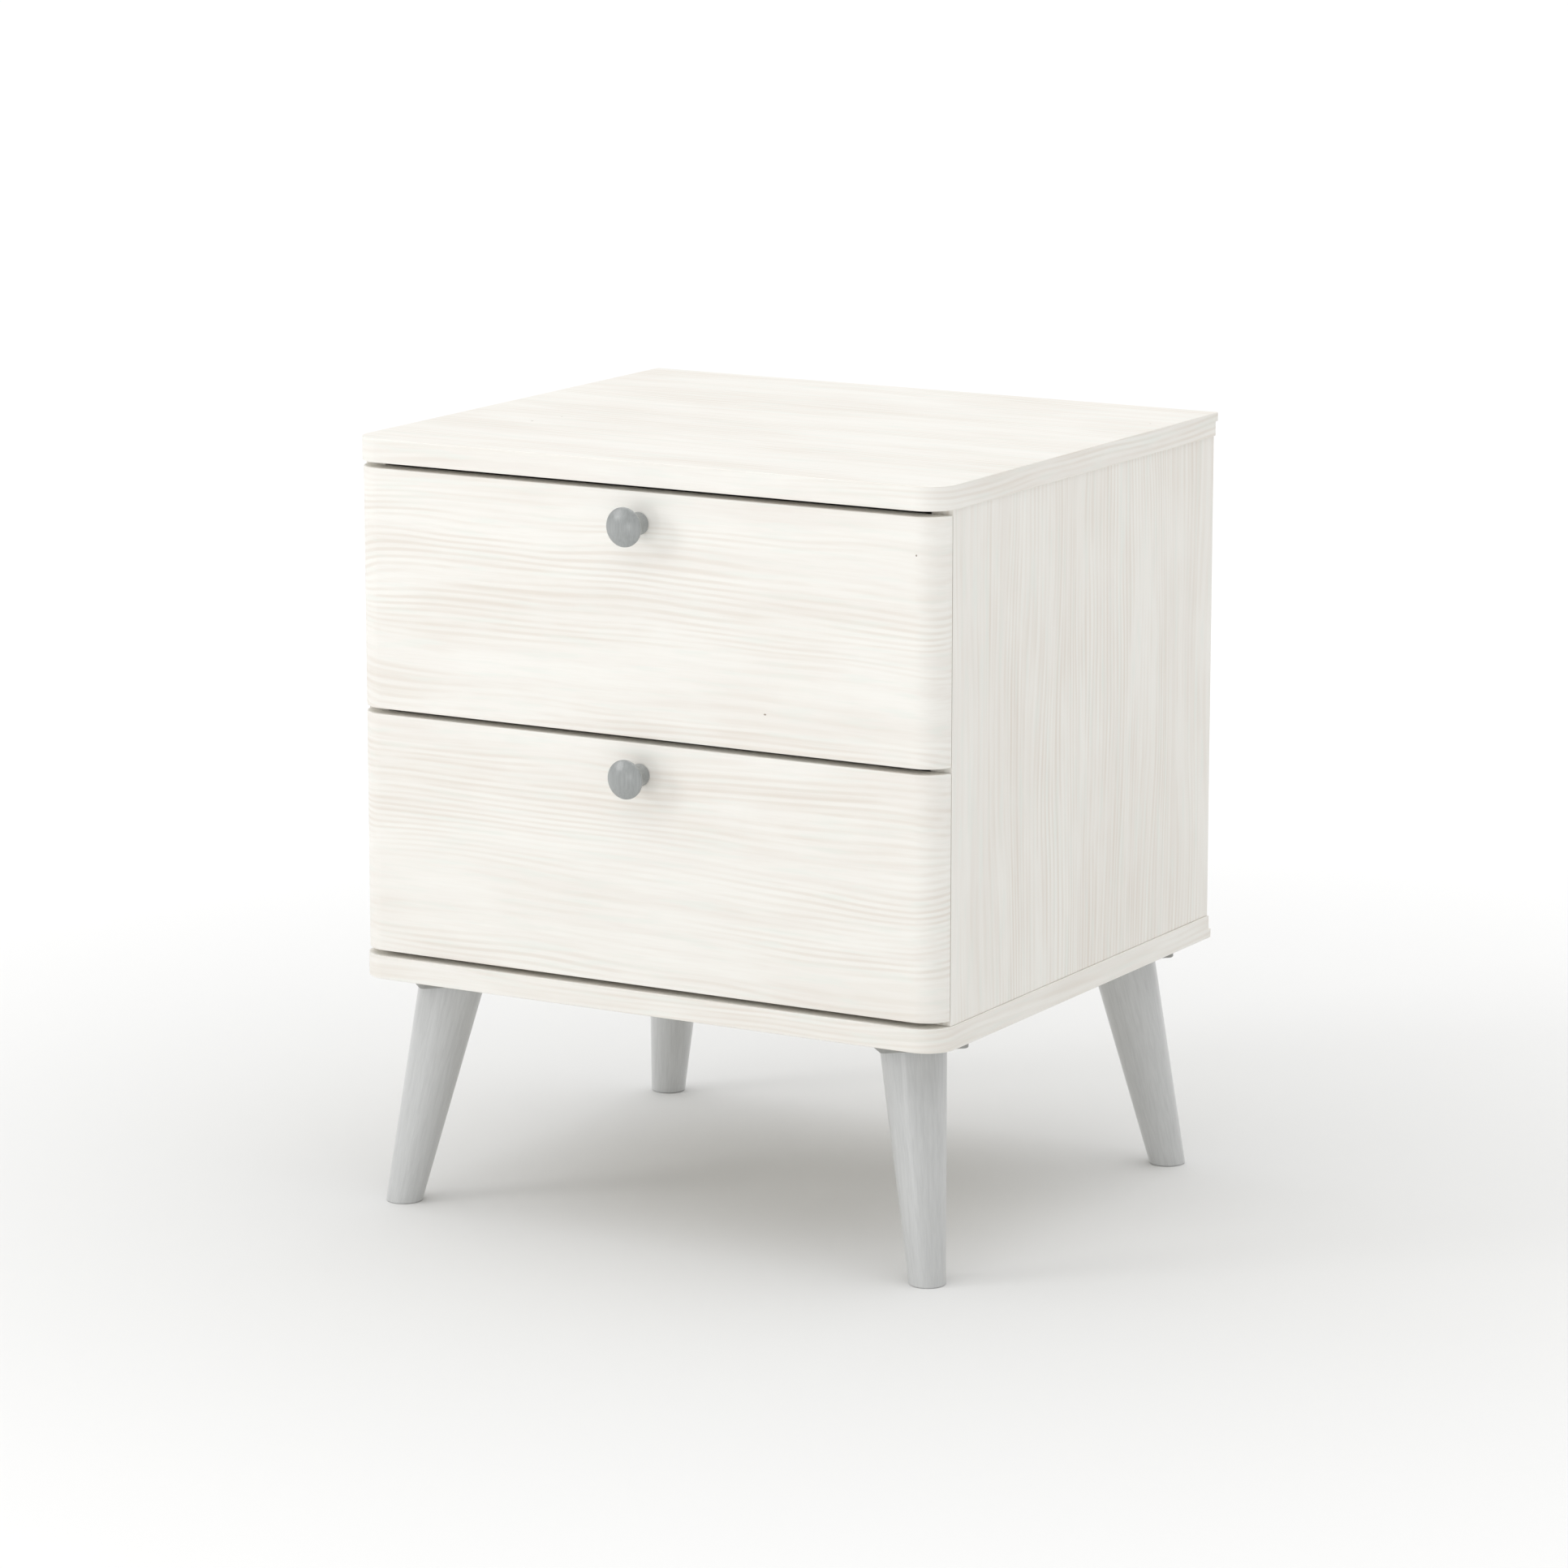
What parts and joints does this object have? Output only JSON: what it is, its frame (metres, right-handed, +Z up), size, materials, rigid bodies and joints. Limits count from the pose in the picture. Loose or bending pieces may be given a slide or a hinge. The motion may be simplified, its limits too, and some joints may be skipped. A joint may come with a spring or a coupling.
{
  "type": "nightstand",
  "caption": "Two-drawer nightstand with a rounded case, turned knobs and splayed tapered legs; the drawers slide out on roller runners.",
  "frame": {"origin": "centre of the bounding box on the floor, under the cabinet", "axes": "+Z up, -Y out of the front where the drawers open, +X to the right seen from the front"},
  "size_m": [0.52, 0.4824, 0.612],
  "materials": {
    "laminate": "satin wood-grain laminate",
    "box_laminate": "matt foil",
    "hardboard": "matt painted hardboard",
    "grey_paint": "satin paint",
    "plate_paint": "satin paint",
    "runner_paint": "epoxy coated",
    "nylon": "moulded",
    "zinc": "zinc plated"
  },
  "bodies": {
    "case": {"top_panel": "laminate", "bottom_panel": "laminate", "side_panel_left": "laminate", "side_panel_right": "laminate", "back_panel": "hardboard", "cam_lock_front_left": "zinc", "cam_bolt_front_left": "zinc", "case_screw_front_left": "zinc", "cam_lock_front_right": "zinc", "cam_bolt_front_right": "zinc", "case_screw_front_right": "zinc", "cam_lock_rear_left": "zinc", "cam_bolt_rear_left": "zinc", "case_screw_rear_left": "zinc", "cam_lock_rear_right": "zinc", "cam_bolt_rear_right": "zinc", "case_screw_rear_right": "zinc", "leg_front_left": "grey_paint", "leg_plate_front_left": "plate_paint", "leg_bolt_front_left": "zinc", "leg_front_right": "grey_paint", "leg_plate_front_right": "plate_paint", "leg_bolt_front_right": "zinc", "leg_rear_left": "grey_paint", "leg_plate_rear_left": "plate_paint", "leg_bolt_rear_left": "zinc", "leg_rear_right": "grey_paint", "leg_plate_rear_right": "plate_paint", "leg_bolt_rear_right": "zinc", "lower_case_runner_left": "runner_paint", "lower_case_runner_right": "runner_paint", "upper_case_runner_left": "runner_paint", "upper_case_runner_right": "runner_paint"},
    "lower_drawer": {"lower_drawer_front": "laminate", "lower_drawer_side_left": "box_laminate", "lower_drawer_side_right": "box_laminate", "lower_drawer_back": "box_laminate", "lower_drawer_bottom": "hardboard", "lower_drawer_runner_left": "runner_paint", "lower_drawer_runner_right": "runner_paint", "lower_knob": "grey_paint", "lower_knob_screw": "zinc"},
    "lower_case_roller_left": {"lower_case_roller_left": "nylon"},
    "lower_drawer_roller_left": {"lower_drawer_roller_left": "nylon"},
    "lower_case_roller_right": {"lower_case_roller_right": "nylon"},
    "lower_drawer_roller_right": {"lower_drawer_roller_right": "nylon"},
    "upper_drawer": {"upper_drawer_front": "laminate", "upper_drawer_side_left": "box_laminate", "upper_drawer_side_right": "box_laminate", "upper_drawer_back": "box_laminate", "upper_drawer_bottom": "hardboard", "upper_drawer_runner_left": "runner_paint", "upper_drawer_runner_right": "runner_paint", "upper_knob": "grey_paint", "upper_knob_screw": "zinc"},
    "upper_case_roller_left": {"upper_case_roller_left": "nylon"},
    "upper_drawer_roller_left": {"upper_drawer_roller_left": "nylon"},
    "upper_case_roller_right": {"upper_case_roller_right": "nylon"},
    "upper_drawer_roller_right": {"upper_drawer_roller_right": "nylon"}
  },
  "joints": [
    {"name": "lower_drawer_slide", "type": "slide", "parent": "case", "child": "lower_drawer", "axis": [0, -1, 0], "range_m": [0, 0.3]},
    {"name": "lower_case_roller_left_spin", "type": "hinge", "parent": "case", "child": "lower_case_roller_left", "pos_m": [-0.2353, -0.17985, 0.2308], "axis": [1, 0, 0], "range_deg": [0, 1720]},
    {"name": "lower_drawer_roller_left_spin", "type": "hinge", "parent": "lower_drawer", "child": "lower_drawer_roller_left", "pos_m": [-0.2339, 0.18545, 0.2318], "axis": [1, 0, 0], "range_deg": [0, 1440]},
    {"name": "lower_case_roller_right_spin", "type": "hinge", "parent": "case", "child": "lower_case_roller_right", "pos_m": [0.2353, -0.17985, 0.2308], "axis": [1, 0, 0], "range_deg": [0, 1720]},
    {"name": "lower_drawer_roller_right_spin", "type": "hinge", "parent": "lower_drawer", "child": "lower_drawer_roller_right", "pos_m": [0.2339, 0.18545, 0.2318], "axis": [1, 0, 0], "range_deg": [0, 1440]},
    {"name": "upper_drawer_slide", "type": "slide", "parent": "case", "child": "upper_drawer", "axis": [0, -1, 0], "range_m": [0, 0.3]},
    {"name": "upper_case_roller_left_spin", "type": "hinge", "parent": "case", "child": "upper_case_roller_left", "pos_m": [-0.2353, -0.17985, 0.42365], "axis": [1, 0, 0], "range_deg": [0, 1720]},
    {"name": "upper_drawer_roller_left_spin", "type": "hinge", "parent": "upper_drawer", "child": "upper_drawer_roller_left", "pos_m": [-0.2339, 0.18545, 0.42465], "axis": [1, 0, 0], "range_deg": [0, 1440]},
    {"name": "upper_case_roller_right_spin", "type": "hinge", "parent": "case", "child": "upper_case_roller_right", "pos_m": [0.2353, -0.17985, 0.42365], "axis": [1, 0, 0], "range_deg": [0, 1720]},
    {"name": "upper_drawer_roller_right_spin", "type": "hinge", "parent": "upper_drawer", "child": "upper_drawer_roller_right", "pos_m": [0.2339, 0.18545, 0.42465], "axis": [1, 0, 0], "range_deg": [0, 1440]}
  ],
  "couplings": [
    {"joint": "lower_case_roller_left_spin", "follows": "lower_drawer_slide", "rad_per_m": 100},
    {"joint": "lower_drawer_roller_left_spin", "follows": "lower_drawer_slide", "rad_per_m": 83.333},
    {"joint": "lower_case_roller_right_spin", "follows": "lower_drawer_slide", "rad_per_m": 100},
    {"joint": "lower_drawer_roller_right_spin", "follows": "lower_drawer_slide", "rad_per_m": 83.333},
    {"joint": "upper_case_roller_left_spin", "follows": "upper_drawer_slide", "rad_per_m": 100},
    {"joint": "upper_drawer_roller_left_spin", "follows": "upper_drawer_slide", "rad_per_m": 83.333},
    {"joint": "upper_case_roller_right_spin", "follows": "upper_drawer_slide", "rad_per_m": 100},
    {"joint": "upper_drawer_roller_right_spin", "follows": "upper_drawer_slide", "rad_per_m": 83.333}
  ]
}
